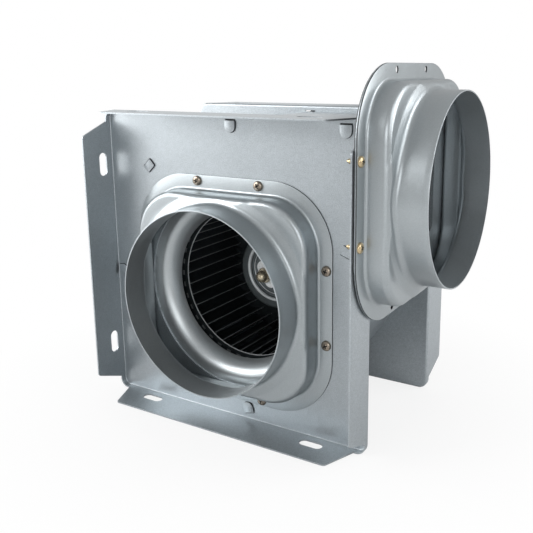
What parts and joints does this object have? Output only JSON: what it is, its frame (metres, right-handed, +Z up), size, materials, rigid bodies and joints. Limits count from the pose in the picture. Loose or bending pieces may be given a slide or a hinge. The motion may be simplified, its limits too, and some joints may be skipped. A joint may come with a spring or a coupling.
{
  "type": "centrifugal duct fan",
  "caption": "Centrifugal duct fan with a volute strip between two flanged mounting pans, round intake and outlet collars, and a forward-curved wheel on a plate-mounted motor.",
  "frame": {"origin": "centre of the intake collar's open end", "axes": "+X out of the outlet, +Y along the fan's axis from the intake towards the motor, +Z up"},
  "size_m": [0.2964, 0.2052, 0.2932],
  "materials": {
    "galvanised": "satin galvanised sheet with a fine spangle",
    "gasket_rubber": "matt black foam rubber",
    "bronze_screw": "bronze-brown passivated steel",
    "brass_screw": "yellow passivated steel",
    "brass_nut": "polished brass",
    "zinc_screw": "bright zinc",
    "laminations": "dark laminated steel",
    "die_cast": "die-cast aluminium",
    "bearing_steel": "ground steel",
    "shaft_steel": "ground steel",
    "bush_rubber": "matt black rubber",
    "box_plastic": "dark grey moulded plastic",
    "block_plastic": "pale moulded plastic",
    "gland_plastic": "black moulded plastic",
    "capacitor_case": "pale smooth plastic can",
    "black_wheel": "black painted sheet",
    "hub_metal": "dark plated steel",
    "clamp_white": "white moulded plastic"
  },
  "bodies": {
    "casing": {"front_pan": "galvanised", "bell_mouth": "galvanised", "rear_pan": "galvanised", "volute_wall": "galvanised", "intake_collar": "galvanised", "outlet_collar": "galvanised", "outlet_gasket": "gasket_rubber", "outlet_plate": "galvanised", "intake_screws": "bronze_screw", "outlet_screws": "brass_screw", "motor_stator": "laminations", "motor_front_shield": "die_cast", "motor_rear_shield": "die_cast", "front_bearing": "bearing_steel", "rear_bearing": "bearing_steel", "motor_plate": "galvanised", "motor_bushes": "bush_rubber", "motor_screws": "zinc_screw", "plate_screws": "zinc_screw", "terminal_box": "box_plastic", "terminal_block": "block_plastic", "terminal_lid": "box_plastic", "lid_screws": "zinc_screw", "box_screws": "zinc_screw", "cable_gland": "gland_plastic", "capacitor": "capacitor_case", "capacitor_clip": "zinc_screw", "clip_screw": "zinc_screw", "earth_screw": "brass_screw"},
    "impeller": {"impeller_blades": "black_wheel", "impeller_back_disc": "black_wheel", "impeller_front_ring": "black_wheel", "impeller_boss": "hub_metal", "hub_clamp": "clamp_white", "hub_nut": "brass_nut", "motor_shaft": "shaft_steel", "motor_rotor": "laminations"}
  },
  "joints": [
    {"name": "impeller_spin", "type": "hinge", "parent": "casing", "child": "impeller", "pos_m": [0, 0.1, 0], "axis": [0, 1, 0], "continuous": true}
  ]
}
